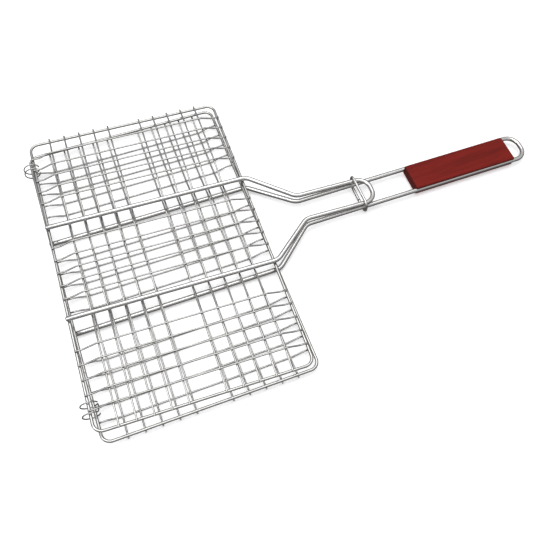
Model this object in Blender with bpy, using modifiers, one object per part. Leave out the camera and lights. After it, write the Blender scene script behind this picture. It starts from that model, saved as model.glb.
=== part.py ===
"""A grill basket: two wire leaves that fold on two hinge coils, a two-rod handle, a wooden grip and a lock ring.

Lengths are in metres. Positions are in the basket's frame, whose origin is the middle of the lower leaf's hinge
wire: +X runs towards the handle, +Y along the hinge and +Z up. Both leaves share one design, in which a height
counts outwards from the plane of the frame wire, so the lower leaf is built downwards and the upper one upwards.
Last, the whole basket is moved so that the scene's origin is under the middle of it, on the surface it lies on.
"""

import math

import bmesh
import bpy
from mathutils import Euler, Matrix, Quaternion, Vector

# Wire diameters, and the air left between wires that touch.
FRAME_WIRE = 0.003
MESH_WIRE = 0.0018
ROD = 0.005
COIL_WIRE = 0.0013
RING_WIRE = 0.003
GAP = 0.0003

# Leaf outline, between wire centres.
LEAF_DEPTH = 0.213
LEAF_LENGTH = 0.340
LEAF_CORNER_RADIUS = 0.009

# Wires of the leaf's mesh: cross wires run along X, long wires along Y.
CROSS_PITCH = 0.0152
CROSS_PER_GROUP = 5
CROSS_GROUP_SPACING = 0.1185
CROSS_OVERHANG = 0.001
CROSS_FOOT = 0.0075
CROSS_RAMP = 0.013
LONG_PITCH = 0.0165
LONG_PER_GROUP = 5
LONG_CENTRE_GAP = 0.036
LONG_OVERHANG = 0.002
LONG_FOOT = 0.004
LONG_RAMP = 0.015
DIP_HALF_FLOOR = 0.004
DIP_INNER_RAMP = 0.0175
DIP_OUTER_RAMP = 0.028

# Heights of the wire centres over the frame wire's plane.
FOOT_HEIGHT = (FRAME_WIRE + MESH_WIRE) / 2 + GAP
ROD_HEIGHT = (FRAME_WIRE + ROD) / 2 + GAP
LONG_HEIGHT = 0.0055
CROSS_HEIGHT = LONG_HEIGHT + MESH_WIRE + GAP
DIP_HEIGHT = ROD_HEIGHT - (ROD + MESH_WIRE) / 2 - GAP

# Handle rods: wide apart across the basket, then drawn in to the grip. Each leaf's pair sits a little off centre.
ROD_SPREAD = 0.109
LOWER_ROD_SHIFT = 0.0006
UPPER_ROD_SHIFT = 0.0013
ROD_GAUGE = 0.0308
ROD_HINGE_END = -0.0013
ROD_BEND_START = LEAF_DEPTH + 0.004
ROD_BEND_END = 0.262
ROD_BEND_RADIUS = 0.014
LOOP_RADIUS = 0.0133
LOWER_LOOP_END = 0.538
UPPER_LOOP_END = 0.345
UPPER_LOOP_HEIGHT = 0.0051

# Grip.
GRIP_START = 0.3945
GRIP_LENGTH = 0.126
GRIP_WIDTH = 0.033
GRIP_TOP = 0.005
GRIP_BOTTOM = -0.007
GRIP_BEVEL = 0.0015

# Lock ring: a long loop that stands across the rods.
RING_X = 0.3305
RING_Y = 0.0005
RING_BOTTOM = -(ROD + RING_WIRE) / 2 - GAP
RING_TOP = 0.0100
RING_HALF_WIDTH = 0.0206
RING_CORNER_RADIUS = 0.005

# How the closed upper leaf lies on the lower one.
UPPER_LEAF_ORIGIN = Vector((0.0005, 0.0095, 0.0085))
UPPER_LEAF_TILT = math.radians(1.37)
UPPER_LEAF_YAW = math.radians(-1.5)

# Hinge axis: halfway in height and in yaw between the two hinge wires, and outside both.
HINGE_POINT = Vector((-0.0015, 0, UPPER_LEAF_ORIGIN.z / 2))
HINGE_YAW = UPPER_LEAF_YAW / 2

# Hinge coils. Each steps across where no mesh wire passes as the leaf opens.
COIL_FAR_Y = 0.1485
COIL_FAR_HALF_WIDTH = 0.0029
COIL_NEAR_Y = -0.1367
COIL_NEAR_HALF_WIDTH = 0.0052
COIL_RADIUS = 0.00815
COIL_START = math.radians(-350)
COIL_JOG_START = math.radians(-28)
COIL_JOG_END = math.radians(36)
COIL_END = math.radians(350)
COIL_STEP = math.radians(15)


def clear_scene():
    for item in list(bpy.data.objects):
        bpy.data.objects.remove(item, do_unlink=True)


def new_collection(name):
    collection = bpy.data.collections.new(name)
    bpy.context.scene.collection.children.link(collection)
    return collection


def new_look(name, colour, roughness, metallic):
    look = bpy.data.materials.new(name)
    look.use_nodes = True
    shader = look.node_tree.nodes["Principled BSDF"]
    shader.inputs["Base Color"].default_value = (*colour, 1)
    shader.inputs["Roughness"].default_value = roughness
    shader.inputs["Metallic"].default_value = metallic
    look.diffuse_color = (*colour, 1)
    return look


def new_empty(name, matrix, parent, collection):
    """An empty whose place in its parent's frame is the matrix."""
    empty = bpy.data.objects.new(name, None)
    empty.empty_display_size = 0.02
    empty.parent = parent
    empty.matrix_local = matrix
    collection.objects.link(empty)
    return empty


def corner_arc(corner, towards_last, towards_next, radius, steps):
    """Points of the arc that rounds a corner, given unit directions towards the corners on either side."""
    half_angle = towards_last.angle(towards_next) / 2
    reach = radius / math.tan(half_angle)
    centre = corner + (towards_last + towards_next).normalized() * radius / math.sin(half_angle)
    first = corner + towards_last * reach - centre
    last = corner + towards_next * reach - centre
    axis = first.cross(last).normalized()
    sweep = first.angle(last)
    return [centre + Quaternion(axis, sweep * step / steps) @ first for step in range(steps + 1)]


def rounded_path(corners, radii, steps, closed=False):
    """A path through the corners, each rounded to its radius. An open path's two ends stay as they are."""
    points = []
    for index, (corner, radius) in enumerate(zip(corners, radii)):
        if not closed and index in (0, len(corners) - 1):
            points.append(corner)
            continue
        towards_last = (corners[index - 1] - corner).normalized()
        towards_next = (corners[(index + 1) % len(corners)] - corner).normalized()
        points += corner_arc(corner, towards_last, towards_next, radius, steps)
    return points


def new_wire(name, points, diameter, sides, look, collection, closed=False):
    """A round wire as a curve through the points. Its bevel has an even number of sides."""
    curve = bpy.data.curves.new(name, "CURVE")
    curve.dimensions = "3D"
    curve.bevel_depth = diameter / 2
    curve.bevel_resolution = (sides - 4) // 2
    curve.use_fill_caps = not closed
    spline = curve.splines.new("POLY")
    spline.points.add(len(points) - 1)
    for spline_point, point in zip(spline.points, points):
        spline_point.co = (*point, 1)
    spline.use_cyclic_u = closed
    curve.materials.append(look)
    wire = bpy.data.objects.new(name, curve)
    collection.objects.link(wire)
    return wire


def frame_path():
    """The frame wire: a rectangle with rounded corners."""
    half_length = LEAF_LENGTH / 2
    corners = [
        Vector((0, -half_length, 0)),
        Vector((LEAF_DEPTH, -half_length, 0)),
        Vector((LEAF_DEPTH, half_length, 0)),
        Vector((0, half_length, 0)),
    ]
    return rounded_path(corners, [LEAF_CORNER_RADIUS] * 4, steps=5, closed=True)


def cross_wire_path(y):
    """A cross wire: a foot on each side of the frame, and a level stretch outside the long wires."""
    half = [
        (-CROSS_OVERHANG, FOOT_HEIGHT),
        (CROSS_FOOT, FOOT_HEIGHT),
        (CROSS_FOOT + CROSS_RAMP, CROSS_HEIGHT),
    ]
    other_half = [(LEAF_DEPTH - x, height) for x, height in reversed(half)]
    return [Vector((x, y, height)) for x, height in half + other_half]


def half_long_wire(rod_y):
    """Distance from the leaf's middle and height, from a wire's end in past a rod this far from the middle."""
    foot = LEAF_LENGTH / 2 - LONG_FOOT
    return [
        (LEAF_LENGTH / 2 + LONG_OVERHANG, FOOT_HEIGHT),
        (foot, FOOT_HEIGHT),
        (foot - LONG_RAMP, LONG_HEIGHT),
        (rod_y + DIP_HALF_FLOOR + DIP_OUTER_RAMP, LONG_HEIGHT),
        (rod_y + DIP_HALF_FLOOR, DIP_HEIGHT),
        (rod_y - DIP_HALF_FLOOR, DIP_HEIGHT),
        (rod_y - DIP_HALF_FLOOR - DIP_INNER_RAMP, LONG_HEIGHT),
    ]


def long_wire_path(x, rod_shift):
    """A long wire: a foot on each end of the frame, and a dip under each handle rod."""
    far_half = half_long_wire(ROD_SPREAD / 2 + rod_shift)
    near_half = [(-y, height) for y, height in reversed(half_long_wire(ROD_SPREAD / 2 - rod_shift))]
    return [Vector((x, y, height)) for y, height in far_half + near_half]


def rod_side(side, rod_shift, loop_end, loop_height):
    """The corners of one side of a handle rod, from its hinge end. Side is +1 for the far one, -1 for the near."""
    basket_y = side * ROD_SPREAD / 2 + rod_shift
    handle_y = side * ROD_GAUGE / 2
    return [
        Vector((ROD_HINGE_END, basket_y, ROD_HEIGHT)),
        Vector((ROD_BEND_START, basket_y, ROD_HEIGHT)),
        Vector((ROD_BEND_END, handle_y, loop_height)),
        Vector((loop_end, handle_y, loop_height)),
    ]


def rod_path(rod_shift, loop_end, loop_height):
    """A handle rod: along one side, round the loop at its outer end, and back along the other side."""
    far_side = rod_side(1, rod_shift, loop_end, loop_height)
    near_side = rod_side(-1, rod_shift, loop_end, loop_height)
    radii = [0, ROD_BEND_RADIUS, ROD_BEND_RADIUS, LOOP_RADIUS]
    return rounded_path(far_side + near_side[::-1], radii + radii[::-1], steps=4)


def cross_wire_positions():
    middle = (CROSS_PER_GROUP - 1) / 2
    groups = [-CROSS_GROUP_SPACING, 0, CROSS_GROUP_SPACING]
    return [group + (index - middle) * CROSS_PITCH for group in groups for index in range(CROSS_PER_GROUP)]


def long_wire_positions():
    outwards = [LONG_CENTRE_GAP / 2 + index * LONG_PITCH for index in range(LONG_PER_GROUP)]
    return [LEAF_DEPTH / 2 - offset for offset in reversed(outwards)] + [
        LEAF_DEPTH / 2 + offset for offset in outwards
    ]


def build_leaf(prefix, outwards, rod_shift, loop, looks, collection):
    """All the wires of a leaf. Outwards is +1 where its heights run up, and -1 where they run down.

    The loop is the distance along X and the height of the outer end of its handle rod.
    """

    def add(name, points, diameter, sides, look, closed=False):
        placed = [Vector((point.x, point.y, outwards * point.z)) for point in points]
        return new_wire(f"{prefix}_{name}", placed, diameter, sides, looks[look], collection, closed)

    wires = [
        add("frame", frame_path(), FRAME_WIRE, 8, "wire", closed=True),
        add("handle_rod", rod_path(rod_shift, *loop), ROD, 8, "rod"),
    ]
    for number, x in enumerate(long_wire_positions(), start=1):
        wires.append(add(f"long_wire_{number:02d}", long_wire_path(x, rod_shift), MESH_WIRE, 6, "wire"))
    for number, y in enumerate(cross_wire_positions(), start=1):
        wires.append(add(f"cross_wire_{number:02d}", cross_wire_path(y), MESH_WIRE, 6, "wire"))
    return wires


def build_lower_leaf(basket, looks, collection):
    for wire in build_leaf("lower", -1, LOWER_ROD_SHIFT, (LOWER_LOOP_END, 0), looks, collection):
        wire.parent = basket


def build_upper_leaf(basket, looks, collection):
    """The upper leaf, on an empty that stands on the hinge axis with its Y along it."""
    hinge_matrix = Matrix.LocRotScale(HINGE_POINT, Euler((0, 0, HINGE_YAW)), None)
    closed_matrix = Matrix.LocRotScale(UPPER_LEAF_ORIGIN, Euler((0, UPPER_LEAF_TILT, UPPER_LEAF_YAW)), None)
    hinge = new_empty("upper_leaf_hinge", hinge_matrix, basket, collection)
    loop = (UPPER_LOOP_END, UPPER_LOOP_HEIGHT)
    for wire in build_leaf("upper", 1, UPPER_ROD_SHIFT, loop, looks, collection):
        wire.parent = hinge
        wire.matrix_local = hinge_matrix.inverted() @ closed_matrix


def coil_point(angle, half_width):
    """A point of a hinge coil's centre line, round its own Y. The wire steps across once, on the inner side."""
    share = (angle - COIL_JOG_START) / (COIL_JOG_END - COIL_JOG_START)
    share = min(max(share, 0), 1)
    across = half_width * (1 - 2 * share)
    return Vector((COIL_RADIUS * math.cos(angle), across, COIL_RADIUS * math.sin(angle)))


def build_hinge_coil(name, y, half_width, basket, looks, collection):
    """A coil of nearly two turns, centred on the hinge axis at this distance along the basket."""
    steps = round((COIL_END - COIL_START) / COIL_STEP)
    angles = [COIL_START + (COIL_END - COIL_START) * step / steps for step in range(steps + 1)]
    path = [coil_point(angle, half_width) for angle in angles]
    coil = new_wire(name, path, COIL_WIRE, 6, looks["wire"], collection)
    coil.parent = basket
    coil.location = HINGE_POINT + Vector((-y * math.tan(HINGE_YAW), y, 0))
    coil.rotation_euler = (0, 0, HINGE_YAW)


def build_lock_ring(basket, looks, collection):
    """The ring, about its own centre: it slides along X on the lower rods."""
    half_height = (RING_TOP - RING_BOTTOM) / 2
    corners = [
        Vector((0, -RING_HALF_WIDTH, -half_height)),
        Vector((0, RING_HALF_WIDTH, -half_height)),
        Vector((0, RING_HALF_WIDTH, half_height)),
        Vector((0, -RING_HALF_WIDTH, half_height)),
    ]
    path = rounded_path(corners, [RING_CORNER_RADIUS] * 4, steps=5, closed=True)
    ring = new_wire("lock_ring", path, RING_WIRE, 8, looks["rod"], collection, closed=True)
    ring.parent = basket
    ring.location = (RING_X, RING_Y, RING_BOTTOM + half_height)


def groove_cutter(side, basket, cutters):
    """A cylinder that cuts the groove for one rod, longer than the grip at both ends."""
    bpy.ops.mesh.primitive_cylinder_add(
        vertices=16,
        radius=ROD / 2 + GAP,
        depth=GRIP_LENGTH * 1.2,
        location=(GRIP_START + GRIP_LENGTH / 2, side * ROD_GAUGE / 2, 0),
        rotation=(0, math.pi / 2, 0),
    )
    cutter = bpy.context.object
    cutter.name = "groove_cutter_far" if side > 0 else "groove_cutter_near"
    cutter.display_type = "WIRE"
    cutter.hide_render = True
    move_to(cutter, cutters)
    cutter.parent = basket
    return cutter


def move_to(item, collection):
    for current in list(item.users_collection):
        current.objects.unlink(item)
    collection.objects.link(item)


def box_mesh(name, size):
    mesh = bpy.data.meshes.new(name)
    shape = bmesh.new()
    bmesh.ops.create_cube(shape, size=1)
    bmesh.ops.scale(shape, vec=size, verts=shape.verts)
    shape.to_mesh(mesh)
    shape.free()
    return mesh


def build_grip(basket, looks, collection, cutters):
    """A block with bevelled edges and an open groove down each side for a rod."""
    size = (GRIP_LENGTH, GRIP_WIDTH, GRIP_TOP - GRIP_BOTTOM)
    mesh = box_mesh("wooden_grip", size)
    mesh.materials.append(looks["wood"])
    grip = bpy.data.objects.new("wooden_grip", mesh)
    collection.objects.link(grip)
    grip.parent = basket
    grip.location = (GRIP_START + GRIP_LENGTH / 2, 0, (GRIP_TOP + GRIP_BOTTOM) / 2)
    bevel = grip.modifiers.new("rounded edges", "BEVEL")
    bevel.width = GRIP_BEVEL
    bevel.segments = 2
    for side in (-1, 1):
        groove = grip.modifiers.new("rod groove", "BOOLEAN")
        groove.operation = "DIFFERENCE"
        groove.object = groove_cutter(side, basket, cutters)


def world_points(item, graph):
    evaluated = item.evaluated_get(graph)
    mesh = evaluated.to_mesh()
    points = [evaluated.matrix_world @ vertex.co for vertex in mesh.vertices]
    evaluated.to_mesh_clear()
    return points


def stand_on_origin(basket, collection):
    """Moves the basket so that the middle of its bounding box's underside is the scene's origin."""
    bpy.context.view_layer.update()
    graph = bpy.context.evaluated_depsgraph_get()
    points = [point for item in collection.objects if item.data for point in world_points(item, graph)]
    low = [min(point[axis] for point in points) for axis in range(3)]
    high = [max(point[axis] for point in points) for axis in range(3)]
    basket.location = (-(low[0] + high[0]) / 2, -(low[1] + high[1]) / 2, -low[2])


def main():
    clear_scene()
    collection = new_collection("grill_basket")
    cutters = new_collection("cutters")
    looks = {
        "wire": new_look("plated_wire", (0.62, 0.61, 0.60), roughness=0.28, metallic=1),
        "rod": new_look("plated_rod", (0.66, 0.64, 0.63), roughness=0.22, metallic=1),
        "wood": new_look("stained_wood", (0.26, 0.045, 0.032), roughness=0.45, metallic=0),
    }
    basket = new_empty("basket", Matrix.Identity(4), None, collection)
    build_lower_leaf(basket, looks, collection)
    build_upper_leaf(basket, looks, collection)
    build_hinge_coil("hinge_coil_far", COIL_FAR_Y, COIL_FAR_HALF_WIDTH, basket, looks, collection)
    build_hinge_coil("hinge_coil_near", COIL_NEAR_Y, COIL_NEAR_HALF_WIDTH, basket, looks, collection)
    build_lock_ring(basket, looks, collection)
    build_grip(basket, looks, collection, cutters)
    stand_on_origin(basket, collection)


main()
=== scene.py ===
"""The looks of the grill basket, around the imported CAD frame.

Every wire is rebuilt as a smooth round tube on the CAD's own centre line, with its bends rounded, its ends
domed and the weld nuggets that join it to the wires it crosses. Lengths are in metres. The "basket" frame has
its origin in the middle of the lower leaf's hinge wire, with +X towards the handle, +Y along the hinge and +Z
up. TO_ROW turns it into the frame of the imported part.
"""

import math
import random

import bmesh
import bpy
from mathutils import Euler, Matrix, Quaternion, Vector


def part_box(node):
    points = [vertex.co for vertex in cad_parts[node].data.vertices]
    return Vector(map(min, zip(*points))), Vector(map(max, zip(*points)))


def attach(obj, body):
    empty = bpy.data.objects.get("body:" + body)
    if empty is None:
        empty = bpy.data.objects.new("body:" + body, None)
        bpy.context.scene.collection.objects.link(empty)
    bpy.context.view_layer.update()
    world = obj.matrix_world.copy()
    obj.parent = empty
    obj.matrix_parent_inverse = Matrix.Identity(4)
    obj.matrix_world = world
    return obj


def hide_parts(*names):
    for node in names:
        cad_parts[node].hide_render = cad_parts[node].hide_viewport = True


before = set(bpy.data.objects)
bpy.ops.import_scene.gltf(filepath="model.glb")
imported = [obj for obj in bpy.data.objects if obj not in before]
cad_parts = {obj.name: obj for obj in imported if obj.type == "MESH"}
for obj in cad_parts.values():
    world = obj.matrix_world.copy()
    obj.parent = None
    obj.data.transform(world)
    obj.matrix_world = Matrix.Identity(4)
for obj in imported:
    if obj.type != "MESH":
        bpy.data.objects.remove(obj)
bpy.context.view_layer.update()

# The CAD's dimensions.
FRAME_WIRE = 0.003
MESH_WIRE = 0.0018
ROD = 0.005
COIL_WIRE = 0.0013
RING_WIRE = 0.003
GAP = 0.0003
LEAF_DEPTH = 0.213
LEAF_LENGTH = 0.340
LEAF_CORNER_RADIUS = 0.009
CROSS_PITCH = 0.0152
CROSS_PER_GROUP = 5
CROSS_GROUP_SPACING = 0.1185
CROSS_OVERHANG = 0.001
CROSS_FOOT = 0.0075
CROSS_RAMP = 0.013
LONG_PITCH = 0.0165
LONG_PER_GROUP = 5
LONG_CENTRE_GAP = 0.036
LONG_OVERHANG = 0.002
LONG_FOOT = 0.004
LONG_RAMP = 0.015
DIP_HALF_FLOOR = 0.004
DIP_INNER_RAMP = 0.0175
DIP_OUTER_RAMP = 0.028
FOOT_HEIGHT = (FRAME_WIRE + MESH_WIRE) / 2 + GAP
ROD_HEIGHT = (FRAME_WIRE + ROD) / 2 + GAP
LONG_HEIGHT = 0.0055
CROSS_HEIGHT = LONG_HEIGHT + MESH_WIRE + GAP
DIP_HEIGHT = ROD_HEIGHT - (ROD + MESH_WIRE) / 2 - GAP
ROD_SPREAD = 0.109
LOWER_ROD_SHIFT = 0.0006
UPPER_ROD_SHIFT = 0.0013
ROD_GAUGE = 0.0308
ROD_HINGE_END = -0.0013
ROD_BEND_START = LEAF_DEPTH + 0.004
ROD_BEND_END = 0.262
ROD_BEND_RADIUS = 0.014
LOOP_RADIUS = 0.0133
LOWER_LOOP_END = 0.538
LOWER_LOOP_HEIGHT = 0
UPPER_LOOP_END = 0.345
UPPER_LOOP_HEIGHT = 0.0051
GRIP_START = 0.3945
GRIP_LENGTH = 0.126
GRIP_WIDTH = 0.033
GRIP_TOP = 0.005
GRIP_BOTTOM = -0.007
RING_X = 0.3305
RING_Y = 0.0005
RING_BOTTOM = -(ROD + RING_WIRE) / 2 - GAP
RING_TOP = 0.0100
RING_HALF_WIDTH = 0.0206
RING_CORNER_RADIUS = 0.005
UPPER_LEAF_ORIGIN = Vector((0.0005, 0.0095, 0.0085))
UPPER_LEAF_TILT = math.radians(1.37)
UPPER_LEAF_YAW = math.radians(-1.5)
HINGE_POINT = Vector((-0.0015, 0, UPPER_LEAF_ORIGIN.z / 2))
HINGE_YAW = UPPER_LEAF_YAW / 2
COIL_FAR_Y = 0.1485
COIL_FAR_HALF_WIDTH = 0.0029
COIL_NEAR_Y = -0.1367
COIL_NEAR_HALF_WIDTH = 0.0052
COIL_RADIUS = 0.00815
COIL_START = math.radians(-350)
COIL_JOG_START = math.radians(-28)
COIL_JOG_END = math.radians(36)
COIL_END = math.radians(350)

# How finely the looks are built.
MESH_SIDES = 12
FRAME_SIDES = 16
ROD_SIDES = 24
WIRE_SPACING = 0.02
RING_SPACING = 0.01
COIL_STEP = math.radians(6)
MESH_BEND_RADIUS = 0.009
MESH_BEND_STEPS = 6
CORNER_STEPS = 10
ROD_BEND_STEPS = 12
BEND_SHARE = 0.48
WIRE_SHARP_ANGLE = math.radians(50)
GRIP_SHARP_ANGLE = math.radians(40)

# A wire's domed end: how far past the end each ring lies and how wide it is, as shares of the wire's radius.
DOME = [(0.24, 0.84), (0.42, 0.50)]

# Half sizes of the weld nuggets: along the wire, across it and in height.
CROSSING_NUGGET = (0.00105, 0.00095, 0.00050)
FRAME_NUGGET = (0.0014, 0.0010, 0.00055)
DIP_NUGGET = (0.0016, 0.0011, 0.0006)
ROD_NUGGET = (0.0019, 0.0019, 0.0006)
NUGGET_JITTER = 0.0001
NUGGET_UNEVENNESS = 0.07
LOWER_WELD_SEED = 11
UPPER_WELD_SEED = 23
RING_WELD_SEED = 5
RING_WELD_OFFSET = -0.004
RING_WELD_HALF_LENGTH = 0.0017
RING_WELD_SWELL = RING_WIRE / 2 + 0.0002

# The grip's rounding.
GRIP_CORNER = 0.0022
GRIP_LEAST_CORNER = 0.0003
GRIP_END_EDGE = 0.0019
GRIP_CORNER_STEPS = 6
GRIP_GROOVE_STEPS = 16
GRIP_EDGE_STEPS = 5
GRIP_LENGTH_STEPS = 24


def basket_to_row():
    """The move from the basket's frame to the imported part's, read off the lower leaf's frame wire."""
    low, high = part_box("lower_frame")
    middle = (low + high) / 2
    return Matrix.Translation(middle - Vector((LEAF_DEPTH / 2, 0, 0)))


TO_ROW = basket_to_row()
LOWER = TO_ROW
UPPER = TO_ROW @ Matrix.LocRotScale(UPPER_LEAF_ORIGIN, Euler((0, UPPER_LEAF_TILT, UPPER_LEAF_YAW)), None)


# Paths and tubes.


def corner_arc(corner, towards_last, towards_next, radius, steps):
    """Points of the arc that rounds a corner, given unit directions towards the corners on either side."""
    half_angle = towards_last.angle(towards_next) / 2
    reach = radius / math.tan(half_angle)
    centre = corner + (towards_last + towards_next).normalized() * radius / math.sin(half_angle)
    first = corner + towards_last * reach - centre
    last = corner + towards_next * reach - centre
    axis = first.cross(last).normalized()
    sweep = first.angle(last)
    return [centre + Quaternion(axis, sweep * step / steps) @ first for step in range(steps + 1)]


def rounded_path(corners, radii, steps, closed=False):
    """A path through the corners, each rounded to its radius. An open path's two ends stay as they are."""
    points = []
    for index, (corner, radius) in enumerate(zip(corners, radii)):
        if not closed and index in (0, len(corners) - 1):
            points.append(corner)
            continue
        towards_last = (corners[index - 1] - corner).normalized()
        towards_next = (corners[(index + 1) % len(corners)] - corner).normalized()
        points += corner_arc(corner, towards_last, towards_next, radius, steps)
    return points


def with_spacing(points, longest, closed=False):
    """The path with points added, so that no two neighbours are further apart than this."""
    ends = points[1:] + points[:1] if closed else points[1:]
    finer = []
    for start, end in zip(points, ends):
        count = max(1, math.ceil((end - start).length / longest))
        finer += [start.lerp(end, step / count) for step in range(count)]
    return finer if closed else finer + [points[-1]]


def directions_along(points, closed):
    """The path's direction at each point, from the point before it to the point after it."""
    count = len(points)
    found = []
    for index in range(count):
        before = points[index - 1] if closed or index else points[index]
        after = points[(index + 1) % count] if closed or index < count - 1 else points[index]
        found.append((after - before).normalized())
    return found


def untwisted_normals(directions):
    """A direction across the path at each point, carried along it without twisting."""
    normals = [directions[0].orthogonal().normalized()]
    for last, here in zip(directions, directions[1:]):
        normal = last.rotation_difference(here) @ normals[-1]
        normals.append((normal - here * normal.dot(here)).normalized())
    return normals


def closing_twist(directions, normals):
    """The turn that a closed tube's sections need, shared out along it, to meet where it closes."""
    carried = directions[-1].rotation_difference(directions[0]) @ normals[-1]
    return math.atan2(directions[0].dot(carried.cross(normals[0])), carried.dot(normals[0]))


def skin(shape, rings, closed=False):
    """Joins rings of vertices with faces. An open run of rings gets a face on each end."""
    pairs = list(zip(rings, rings[1:]))
    if closed:
        pairs.append((rings[-1], rings[0]))
    count = len(rings[0])
    for here, there in pairs:
        for index in range(count):
            other = (index + 1) % count
            shape.faces.new((here[index], here[other], there[other], there[index]))
    if not closed:
        shape.faces.new(rings[0][::-1])
        shape.faces.new(rings[-1])


def add_tube(shape, points, radius, sides, closed=False):
    """Sweeps a round section along the points, and domes an open tube's ends."""
    directions = directions_along(points, closed)
    normals = untwisted_normals(directions)
    twist = closing_twist(directions, normals) if closed else 0
    stations = [(*station, 1) for station in zip(points, directions, normals)]
    if not closed:
        first, first_direction, first_normal, _ = stations[0]
        last, last_direction, last_normal, _ = stations[-1]
        for past, share in DOME:
            before = first - first_direction * radius * past
            after = last + last_direction * radius * past
            stations.insert(0, (before, first_direction, first_normal, share))
            stations.append((after, last_direction, last_normal, share))
    rings = []
    for index, (point, direction, normal, share) in enumerate(stations):
        turned = Quaternion(direction, twist * index / len(stations)) @ normal
        across = direction.cross(turned)
        ring = []
        for side in range(sides):
            angle = 2 * math.pi * side / sides
            offset = (turned * math.cos(angle) + across * math.sin(angle)) * radius * share
            ring.append(shape.verts.new(point + offset))
        rings.append(ring)
    skin(shape, rings, closed)


def add_nugget(shape, centre, axis, up, half_sizes, rng):
    """A squashed, slightly uneven ball, as a spot weld leaves."""
    across = up.cross(axis).normalized()
    turn = Matrix((axis, across, up)).transposed()
    length, width, height = half_sizes
    for vertex in bmesh.ops.create_icosphere(shape, subdivisions=2, radius=1)["verts"]:
        local = vertex.co * (1 + rng.uniform(-NUGGET_UNEVENNESS, NUGGET_UNEVENNESS))
        vertex.co = centre + turn @ Vector((local.x * length, local.y * width, local.z * height))


def mesh_object(name, shape, look, sharp_angle=None):
    mesh = bpy.data.meshes.new(name)
    bmesh.ops.recalc_face_normals(shape, faces=shape.faces)
    shape.to_mesh(mesh)
    shape.free()
    mesh.polygons.foreach_set("use_smooth", [True] * len(mesh.polygons))
    if sharp_angle is not None:
        mesh.set_sharp_from_angle(angle=sharp_angle)
    mesh.materials.append(look)
    made = bpy.data.objects.new(name, mesh)
    bpy.context.scene.collection.objects.link(made)
    return made


def add_wire(node, points, diameter, sides, slot, body, closed=False):
    """A smooth wire that stands for one CAD node."""
    shape = bmesh.new()
    add_tube(shape, points, diameter / 2, sides, closed)
    wire = mesh_object(f"{node}_look", shape, LOOKS[slot], WIRE_SHARP_ANGLE)
    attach(wire, body)
    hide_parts(node)


# Centre lines, in a leaf's own frame: heights count outwards from the plane of its frame wire.


def frame_path():
    half_length = LEAF_LENGTH / 2
    corners = [
        Vector((0, -half_length, 0)),
        Vector((LEAF_DEPTH, -half_length, 0)),
        Vector((LEAF_DEPTH, half_length, 0)),
        Vector((0, half_length, 0)),
    ]
    return rounded_path(corners, [LEAF_CORNER_RADIUS] * 4, CORNER_STEPS, closed=True)


def bend_radii(corners):
    """A mesh wire's radius at each corner, cut down where two corners are close together."""
    radii = [0.0]
    for last, corner, following in zip(corners, corners[1:], corners[2:]):
        angle = (last - corner).angle(following - corner)
        room = BEND_SHARE * min((last - corner).length, (following - corner).length)
        radii.append(min(MESH_BEND_RADIUS, room * math.tan(angle / 2)))
    return radii + [0.0]


def cross_wire_path(y):
    half = [
        (-CROSS_OVERHANG, FOOT_HEIGHT),
        (CROSS_FOOT, FOOT_HEIGHT),
        (CROSS_FOOT + CROSS_RAMP, CROSS_HEIGHT),
    ]
    other_half = [(LEAF_DEPTH - x, height) for x, height in reversed(half)]
    corners = [Vector((x, y, height)) for x, height in half + other_half]
    return rounded_path(corners, bend_radii(corners), MESH_BEND_STEPS)


def half_long_wire(rod_y):
    """The corners (Y, height) of half a long wire, from its end in past the dip that holds the rod."""
    foot = LEAF_LENGTH / 2 - LONG_FOOT
    return [
        (LEAF_LENGTH / 2 + LONG_OVERHANG, FOOT_HEIGHT),
        (foot, FOOT_HEIGHT),
        (foot - LONG_RAMP, LONG_HEIGHT),
        (rod_y + DIP_HALF_FLOOR + DIP_OUTER_RAMP, LONG_HEIGHT),
        (rod_y + DIP_HALF_FLOOR, DIP_HEIGHT),
        (rod_y - DIP_HALF_FLOOR, DIP_HEIGHT),
        (rod_y - DIP_HALF_FLOOR - DIP_INNER_RAMP, LONG_HEIGHT),
    ]


def long_wire_path(x, rod_shift):
    far_half = half_long_wire(ROD_SPREAD / 2 + rod_shift)
    near_half = [(-y, height) for y, height in reversed(half_long_wire(ROD_SPREAD / 2 - rod_shift))]
    corners = [Vector((x, y, height)) for y, height in far_half + near_half]
    return rounded_path(corners, bend_radii(corners), MESH_BEND_STEPS)


def rod_side(side, rod_shift, loop_end, loop_height):
    basket_y = side * ROD_SPREAD / 2 + rod_shift
    handle_y = side * ROD_GAUGE / 2
    return [
        Vector((ROD_HINGE_END, basket_y, ROD_HEIGHT)),
        Vector((ROD_BEND_START, basket_y, ROD_HEIGHT)),
        Vector((ROD_BEND_END, handle_y, loop_height)),
        Vector((loop_end, handle_y, loop_height)),
    ]


def rod_path(rod_shift, loop_end, loop_height):
    far_side = rod_side(1, rod_shift, loop_end, loop_height)
    near_side = rod_side(-1, rod_shift, loop_end, loop_height)
    radii = [0, ROD_BEND_RADIUS, ROD_BEND_RADIUS, LOOP_RADIUS]
    return rounded_path(far_side + near_side[::-1], radii + radii[::-1], ROD_BEND_STEPS)


def cross_wire_positions():
    middle = (CROSS_PER_GROUP - 1) / 2
    groups = [-CROSS_GROUP_SPACING, 0, CROSS_GROUP_SPACING]
    return [group + (index - middle) * CROSS_PITCH for group in groups for index in range(CROSS_PER_GROUP)]


def long_wire_positions():
    outwards = [LONG_CENTRE_GAP / 2 + index * LONG_PITCH for index in range(LONG_PER_GROUP)]
    return [LEAF_DEPTH / 2 - offset for offset in reversed(outwards)] + [
        LEAF_DEPTH / 2 + offset for offset in outwards
    ]


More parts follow.
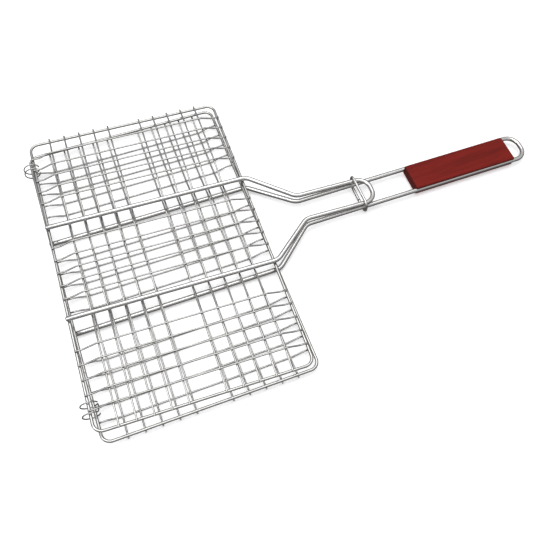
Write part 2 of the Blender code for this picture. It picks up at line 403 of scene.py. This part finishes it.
def height_on(path, axis, value):
    """The height of a wire's centre line where it passes this X (axis 0) or this Y (axis 1)."""
    for start, end in zip(path, path[1:]):
        low, high = sorted((start[axis], end[axis]))
        if low - 1e-9 <= value <= high + 1e-9 and high > low:
            share = (value - start[axis]) / (end[axis] - start[axis])
            return start.z + (end.z - start.z) * share
    return None


# Materials.

WIRE_TONES = [(0.30, (0.46, 0.455, 0.44)), (0.62, (0.55, 0.545, 0.53))]
ROD_TONES = [(0.30, (0.67, 0.66, 0.645)), (0.62, (0.72, 0.71, 0.695))]
# Weld colours: dark partly for heat tint, partly as painted shade where the wires cross and meet.
WELD_TINT_AND_SHADE_TONES = [(0.35, (0.07, 0.065, 0.06)), (0.65, (0.24, 0.23, 0.22))]
WOOD_TONES = [
    (0.25, (0.120, 0.0090, 0.0065)),
    (0.45, (0.172, 0.0115, 0.0080)),
    (0.60, (0.205, 0.0135, 0.0090)),
    (0.80, (0.240, 0.0180, 0.0110)),
]
PORE_TONE = (0.085, 0.012, 0.010)
# Colour of the painted shade on the grip's sides, ends and edges.
SIDE_SHADE_TONE = (0.070, 0.0080, 0.0065)
GRAIN_STRETCH = (4, 60, 60)
PORE_STRETCH = (60, 900, 900)

# A Mix node's sockets for colours and for numbers have the same names, so they are picked by their places.
MIX_FACTOR, MIX_FIRST, MIX_SECOND, MIXED_COLOUR = 0, 6, 7, 2


class Look:
    """A material under construction: its node tree, with a short way to add each kind of node."""

    def __init__(self, name):
        self.material = bpy.data.materials.new(name)
        self.material.use_nodes = True
        self.nodes = self.material.node_tree.nodes
        self.links = self.material.node_tree.links
        self.shader = self.nodes["Principled BSDF"]

    def add(self, kind, **settings):
        """Adds a node. A setting that starts with in_ is an input's value, and others are properties."""
        node = self.nodes.new(kind)
        for key, value in settings.items():
            if key.startswith("in_"):
                node.inputs[key[3:].replace("_", " ")].default_value = value
            else:
                setattr(node, key, value)
        return node

    def place(self):
        return self.add("ShaderNodeTexCoord").outputs["Object"]

    def stretched(self, place, scale):
        mapping = self.add("ShaderNodeMapping", in_Scale=scale)
        self.links.new(place, mapping.inputs["Vector"])
        return mapping.outputs["Vector"]

    def noise(self, place, **settings):
        noise = self.add("ShaderNodeTexNoise", **settings)
        self.links.new(place, noise.inputs["Vector"])
        return noise.outputs["Fac"]

    def mapped(self, value, **settings):
        span = self.add("ShaderNodeMapRange", **settings)
        self.links.new(value, span.inputs["Value"])
        return span.outputs["Result"]

    def toned(self, value, stops):
        ramp = add_ramp(self.nodes, stops)
        self.links.new(value, ramp.inputs["Fac"])
        return ramp.outputs["Color"]

    def mixed(self, mask, colour, tone):
        """The colour, turned into a plain tone where the mask is 1."""
        mix = self.add("ShaderNodeMix", data_type="RGBA", blend_type="MIX")
        mix.inputs[MIX_SECOND].default_value = (*tone, 1)
        self.links.new(mask, mix.inputs[MIX_FACTOR])
        self.links.new(colour, mix.inputs[MIX_FIRST])
        return mix.outputs[MIXED_COLOUR]

    def wear(self, colour, roughness, height, **bump_settings):
        """Links the colour, the roughness and a bump to the shader."""
        bump = self.add("ShaderNodeBump", **bump_settings)
        self.links.new(height, bump.inputs["Height"])
        self.links.new(colour, self.shader.inputs["Base Color"])
        self.links.new(roughness, self.shader.inputs["Roughness"])
        self.links.new(bump.outputs["Normal"], self.shader.inputs["Normal"])
        return self.material


def add_ramp(nodes, stops):
    ramp = nodes.new("ShaderNodeValToRGB")
    ramp.color_ramp.elements[0].position = stops[0][0]
    ramp.color_ramp.elements[0].color = (*stops[0][1], 1)
    ramp.color_ramp.elements[1].position = stops[-1][0]
    ramp.color_ramp.elements[1].color = (*stops[-1][1], 1)
    for position, colour in stops[1:-1]:
        ramp.color_ramp.elements.new(position).color = (*colour, 1)
    return ramp


def plated_look(name, tones, roughness, rough_span):
    """Bright plate: a faint cloudiness in tone and gloss, and a fine grain."""
    look = Look(name)
    look.shader.inputs["Metallic"].default_value = 1
    place = look.place()
    clouds = look.noise(place, in_Scale=160, in_Detail=4, in_Roughness=0.6)
    grain = look.noise(place, in_Scale=900, in_Detail=2)
    dullness = look.mapped(
        clouds, in_From_Min=0.3, in_From_Max=0.7, in_To_Min=roughness + rough_span, in_To_Max=roughness
    )
    return look.wear(look.toned(clouds, tones), dullness, grain, in_Strength=0.02, in_Distance=0.0001)


def weld_tint_and_shade_look():
    """Spot welds: the same plate, duller and darker, partly as heat tint and partly as painted shade where
    the wires cross and meet.
    """
    look = Look("weld_nuggets_and_painted_shade")
    look.shader.inputs["Metallic"].default_value = 1
    spots = look.noise(look.place(), in_Scale=420, in_Detail=3)
    dullness = look.mapped(spots, in_From_Min=0.3, in_From_Max=0.7, in_To_Min=0.55, in_To_Max=0.38)
    return look.wear(look.toned(spots, WELD_TINT_AND_SHADE_TONES), dullness, spots, in_Strength=0.3, in_Distance=0.0002)


def wood_look():
    """Red-brown stained hardwood: grain along X, short dark pores, and painted shade on the faces that turn
    away from straight up or down: the sides, ends and edges.
    """
    look = Look("stained_wood")
    look.shader.inputs["Specular IOR Level"].default_value = 0.1
    place = look.place()
    grain = look.noise(
        look.stretched(place, GRAIN_STRETCH), in_Scale=3.0, in_Detail=6, in_Roughness=0.62, in_Distortion=0.6
    )
    pores = look.noise(look.stretched(place, PORE_STRETCH), in_Scale=2.2, in_Detail=2, in_Roughness=0.5)
    pore_mask = look.mapped(pores, in_From_Min=0.60, in_From_Max=0.74)
    # Painted shade: faces that turn away from straight up or down are darkened, by the world direction of
    # their normal.
    facing = look.add("ShaderNodeSeparateXYZ")
    look.links.new(look.add("ShaderNodeNewGeometry").outputs["Normal"], facing.inputs["Vector"])
    flatness = look.add("ShaderNodeMath", operation="ABSOLUTE")
    look.links.new(facing.outputs["Z"], flatness.inputs[0])
    side_shade_mask = look.mapped(flatness.outputs["Value"], in_From_Min=0.97, in_From_Max=0.60, in_To_Max=0.85)
    stained = look.mixed(pore_mask, look.toned(grain, WOOD_TONES), PORE_TONE)
    stained = look.mixed(side_shade_mask, stained, SIDE_SHADE_TONE)
    dullness = look.mapped(grain, in_From_Min=0.3, in_From_Max=0.7, in_To_Min=0.55, in_To_Max=0.45)
    return look.wear(stained, dullness, pore_mask, in_Strength=0.25, in_Distance=0.0002, invert=True)


LOOKS = {
    "plated_wire": plated_look("plated_wire", WIRE_TONES, roughness=0.22, rough_span=0.06),
    "plated_rod": plated_look("plated_rod", ROD_TONES, roughness=0.22, rough_span=0.04),
    "weld": weld_tint_and_shade_look(),
    "stained_wood": wood_look(),
}


# The leaves.


def weld_spots(longs, crosses, rod_shift):
    """A leaf's welds, in its own frame: each one's middle, direction along the wire and half sizes."""
    along_x, along_y = Vector((1, 0, 0)), Vector((0, 1, 0))
    touching = (MESH_WIRE + GAP) / 2
    on_frame = (FRAME_WIRE + GAP) / 2
    rod_ys = [side * ROD_SPREAD / 2 + rod_shift for side in (-1, 1)]
    spots = []
    for path in longs:
        x = path[0].x
        for cross in crosses:
            y = cross[0].y
            level, over = height_on(path, 1, y), height_on(cross, 0, x)
            if over - level <= MESH_WIRE + 2 * GAP:
                spots.append((Vector((x, y, level + touching)), along_y, CROSSING_NUGGET))
        for end_y, rod_y in zip((-LEAF_LENGTH / 2, LEAF_LENGTH / 2), rod_ys):
            spots.append((Vector((x, end_y, on_frame)), along_y, FRAME_NUGGET))
            spots.append((Vector((x, rod_y, DIP_HEIGHT + touching)), along_y, DIP_NUGGET))
    for cross in crosses:
        for x in (0, LEAF_DEPTH):
            spots.append((Vector((x, cross[0].y, on_frame)), along_x, FRAME_NUGGET))
    for rod_y in rod_ys:
        for x in (0, LEAF_DEPTH):
            spots.append((Vector((x, rod_y, on_frame)), along_x, ROD_NUGGET))
    return spots


def build_nuggets(name, body, spots, place, outwards, seed):
    rng = random.Random(seed)
    turn = place.to_3x3()
    up = (turn @ Vector((0, 0, outwards))).normalized()
    shape = bmesh.new()
    for middle, along, half_sizes in spots:
        jitter = Vector((rng.uniform(-1, 1), rng.uniform(-1, 1), 0)) * NUGGET_JITTER
        centre = place @ (Vector((middle.x, middle.y, outwards * middle.z)) + jitter)
        add_nugget(shape, centre, (turn @ along).normalized(), up, half_sizes, rng)
    nuggets = mesh_object(name, shape, LOOKS["weld"])
    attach(nuggets, body)


def build_leaf(prefix, place, outwards, rod_shift, loop_end, loop_height, seed):
    """A leaf: its frame, rod, mesh wires and welds. outwards is 1 if its heights count upwards, else -1."""
    body = f"{prefix}_leaf"

    def add(name, points, diameter, sides, slot, closed=False):
        finer = with_spacing(points, WIRE_SPACING, closed)
        placed = [place @ Vector((point.x, point.y, outwards * point.z)) for point in finer]
        add_wire(f"{prefix}_{name}", placed, diameter, sides, slot, body, closed)

    add("frame", frame_path(), FRAME_WIRE, FRAME_SIDES, "plated_wire", closed=True)
    add("handle_rod", rod_path(rod_shift, loop_end, loop_height), ROD, ROD_SIDES, "plated_rod")
    longs = [long_wire_path(x, rod_shift) for x in long_wire_positions()]
    crosses = [cross_wire_path(y) for y in cross_wire_positions()]
    for kind, paths in (("long", longs), ("cross", crosses)):
        for number, path in enumerate(paths, start=1):
            add(f"{kind}_wire_{number:02d}", path, MESH_WIRE, MESH_SIDES, "plated_wire")
    spots = weld_spots(longs, crosses, rod_shift)
    build_nuggets(f"{prefix}_weld_nuggets_and_painted_shade", body, spots, place, outwards, seed)


build_leaf("lower", LOWER, -1, LOWER_ROD_SHIFT, LOWER_LOOP_END, LOWER_LOOP_HEIGHT, LOWER_WELD_SEED)
build_leaf("upper", UPPER, 1, UPPER_ROD_SHIFT, UPPER_LOOP_END, UPPER_LOOP_HEIGHT, UPPER_WELD_SEED)


# Hinge coils and lock ring.


def coil_point(angle, half_width):
    """A point of a coil: two flat turns side by side, with a smooth jog from one to the other."""
    share = (angle - COIL_JOG_START) / (COIL_JOG_END - COIL_JOG_START)
    share = min(max(share, 0), 1)
    share = share * share * (3 - 2 * share)
    across = half_width * (1 - 2 * share)
    return Vector((COIL_RADIUS * math.cos(angle), across, COIL_RADIUS * math.sin(angle)))


def build_hinge_coil(name, y, half_width):
    steps = round((COIL_END - COIL_START) / COIL_STEP)
    angles = [COIL_START + (COIL_END - COIL_START) * step / steps for step in range(steps + 1)]
    centre = HINGE_POINT + Vector((-y * math.tan(HINGE_YAW), y, 0))
    place = TO_ROW @ Matrix.LocRotScale(centre, Euler((0, 0, HINGE_YAW)), None)
    path = [place @ coil_point(angle, half_width) for angle in angles]
    add_wire(name, path, COIL_WIRE, MESH_SIDES, "plated_wire", name)


build_hinge_coil("hinge_coil_far", COIL_FAR_Y, COIL_FAR_HALF_WIDTH)
build_hinge_coil("hinge_coil_near", COIL_NEAR_Y, COIL_NEAR_HALF_WIDTH)


def build_lock_ring():
    corners = [
        Vector((RING_X, RING_Y - RING_HALF_WIDTH, RING_BOTTOM)),
        Vector((RING_X, RING_Y + RING_HALF_WIDTH, RING_BOTTOM)),
        Vector((RING_X, RING_Y + RING_HALF_WIDTH, RING_TOP)),
        Vector((RING_X, RING_Y - RING_HALF_WIDTH, RING_TOP)),
    ]
    path = rounded_path(corners, [RING_CORNER_RADIUS] * 4, CORNER_STEPS, closed=True)
    placed = [TO_ROW @ point for point in with_spacing(path, RING_SPACING, closed=True)]
    add_wire("lock_ring", placed, RING_WIRE, FRAME_SIDES, "plated_rod", "lock_ring", closed=True)


def build_ring_weld():
    """The butt weld that closes the ring, on its underside."""
    shape = bmesh.new()
    centre = TO_ROW @ Vector((RING_X, RING_Y + RING_WELD_OFFSET, RING_BOTTOM))
    half_sizes = (RING_WELD_HALF_LENGTH, RING_WELD_SWELL, RING_WELD_SWELL)
    add_nugget(shape, centre, Vector((0, 1, 0)), Vector((0, 0, 1)), half_sizes, random.Random(RING_WELD_SEED))
    weld = mesh_object("lock_ring_weld", shape, LOOKS["weld"])
    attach(weld, "lock_ring")


build_lock_ring()
build_ring_weld()


# The grip: a rounded block with a groove down each side for a rod.


def arc_points(centre, radius, start, end, steps):
    angles = [start + (end - start) * step / steps for step in range(steps + 1)]
    return [(centre[0] + radius * math.cos(angle), centre[1] + radius * math.sin(angle)) for angle in angles]


def grip_section(shrink):
    """The outline across the grip (Y, Z), drawn in by this much except in its grooves."""
    half_width = GRIP_WIDTH / 2 - shrink
    top, bottom = GRIP_TOP - shrink, GRIP_BOTTOM + shrink
    corner = max(GRIP_CORNER - shrink, GRIP_LEAST_CORNER)
    groove = ROD / 2 + GAP
    rod_y = ROD_GAUGE / 2
    mouth = math.acos((half_width - rod_y) / groove)
    groove_arc = arc_points((rod_y, 0), groove, mouth, 2 * math.pi - mouth, GRIP_GROOVE_STEPS)
    top_corner = (half_width - corner, top - corner)
    bottom_corner = (half_width - corner, bottom + corner)
    top_arc = arc_points(top_corner, corner, 0, math.pi / 2, GRIP_CORNER_STEPS)
    bottom_arc = arc_points(bottom_corner, corner, -math.pi / 2, 0, GRIP_CORNER_STEPS)
    far_side = bottom_arc + groove_arc[::-1] + top_arc
    return far_side + [(-y, z) for y, z in reversed(far_side)]


def grip_stations():
    """Where the sections stand along the grip, and how far each is drawn in to round the ends' edges."""
    edge, steps = GRIP_END_EDGE, GRIP_LENGTH_STEPS
    turns = [math.pi / 2 * step / GRIP_EDGE_STEPS for step in range(GRIP_EDGE_STEPS + 1)]
    start = [(GRIP_START + edge * (1 - math.cos(turn)), edge * (1 - math.sin(turn))) for turn in turns]
    middle = [(GRIP_START + edge + (GRIP_LENGTH - 2 * edge) * step / steps, 0) for step in range(1, steps)]
    end = [(2 * GRIP_START + GRIP_LENGTH - x, shrink) for x, shrink in reversed(start)]
    return start + middle + end


def build_grip():
    shape = bmesh.new()
    rings = []
    for x, shrink in grip_stations():
        rings.append([shape.verts.new(TO_ROW @ Vector((x, y, z))) for y, z in grip_section(shrink)])
    skin(shape, rings)
    grip = mesh_object("wooden_grip_look", shape, LOOKS["stained_wood"], GRIP_SHARP_ANGLE)
    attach(grip, "lower_leaf")
    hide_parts("wooden_grip")


build_grip()


# Floor, lights and camera. The floor glows a little, so that shadows on it stay faint, and the plated wires
# don't mirror it, so that their edges stand out dark against it.
FLOOR_HALF_SIZE = 3
FLOOR_DROP = 0.0005
FLOOR_TONE = 0.93
FLOOR_GLOW = 0.35
SKY_STRENGTH = 1.0
SKY_TONES = [(0.0, (0.13, 0.13, 0.13)), (0.22, (0.46, 0.46, 0.47)), (1.0, (0.68, 0.68, 0.69))]

# The camera, in the basket's frame.
CAMERA_LENS = 42.951
CAMERA_SENSOR = 36
CAMERA_CLIP_START = 0.01
CAMERA_PLACE = Vector((0.079287, -0.347335, 0.603915))
CAMERA_TURN = Euler([math.radians(angle) for angle in (27.383, -1.765, -20.830)])


def build_floor():
    mesh = bpy.data.meshes.new("floor")
    size = FLOOR_HALF_SIZE
    corners = [(-size, -size, 0), (size, -size, 0), (size, size, 0), (-size, size, 0)]
    mesh.from_pydata(corners, [], [(0, 1, 2, 3)])
    floor = bpy.data.objects.new("floor", mesh)
    floor.location = (0, 0, -FLOOR_DROP)
    bpy.context.scene.collection.objects.link(floor)
    look = Look("floor")
    look.shader.inputs["Base Color"].default_value = (FLOOR_TONE, FLOOR_TONE, FLOOR_TONE, 1)
    look.shader.inputs["Roughness"].default_value = 0.9
    look.shader.inputs["Specular IOR Level"].default_value = 0.1
    look.shader.inputs["Emission Color"].default_value = (1, 1, 1, 1)
    look.shader.inputs["Emission Strength"].default_value = FLOOR_GLOW
    mesh.materials.append(look.material)
    floor.visible_glossy = False


def build_sky():
    """A plain sky, darker near and below the horizon."""
    world = bpy.data.worlds.new("studio")
    bpy.context.scene.world = world
    world.use_nodes = True
    nodes, links = world.node_tree.nodes, world.node_tree.links
    sky = nodes["Background"]
    sky.inputs["Strength"].default_value = SKY_STRENGTH
    place = nodes.new("ShaderNodeTexCoord")
    height = nodes.new("ShaderNodeSeparateXYZ")
    links.new(place.outputs["Generated"], height.inputs["Vector"])
    tone = add_ramp(nodes, SKY_TONES)
    links.new(height.outputs["Z"], tone.inputs["Fac"])
    links.new(tone.outputs["Color"], sky.inputs["Color"])


def add_light(name, position, size, energy):
    """A rectangular light that points at the middle of the part."""
    light = bpy.data.lights.new(name, "AREA")
    light.shape = "RECTANGLE"
    light.size, light.size_y = size
    light.energy = energy
    holder = bpy.data.objects.new(name, light)
    holder.location = position
    holder.rotation_euler = (-Vector(position)).to_track_quat("-Z", "Y").to_euler()
    bpy.context.scene.collection.objects.link(holder)


def build_camera():
    data = bpy.data.cameras.new("camera")
    data.lens = CAMERA_LENS
    data.sensor_width = CAMERA_SENSOR
    data.clip_start = CAMERA_CLIP_START
    camera = bpy.data.objects.new("camera", data)
    camera.matrix_world = TO_ROW @ Matrix.LocRotScale(CAMERA_PLACE, CAMERA_TURN, None)
    bpy.context.scene.collection.objects.link(camera)
    bpy.context.scene.camera = camera


build_floor()
build_sky()
add_light("overhead", position=(-0.1, 0.25, 1.5), size=(1.6, 1.4), energy=14)
add_light("side strip", position=(-1.1, -0.2, 0.9), size=(0.25, 1.4), energy=3)
build_camera()
bpy.context.scene.view_settings.view_transform = "Standard"
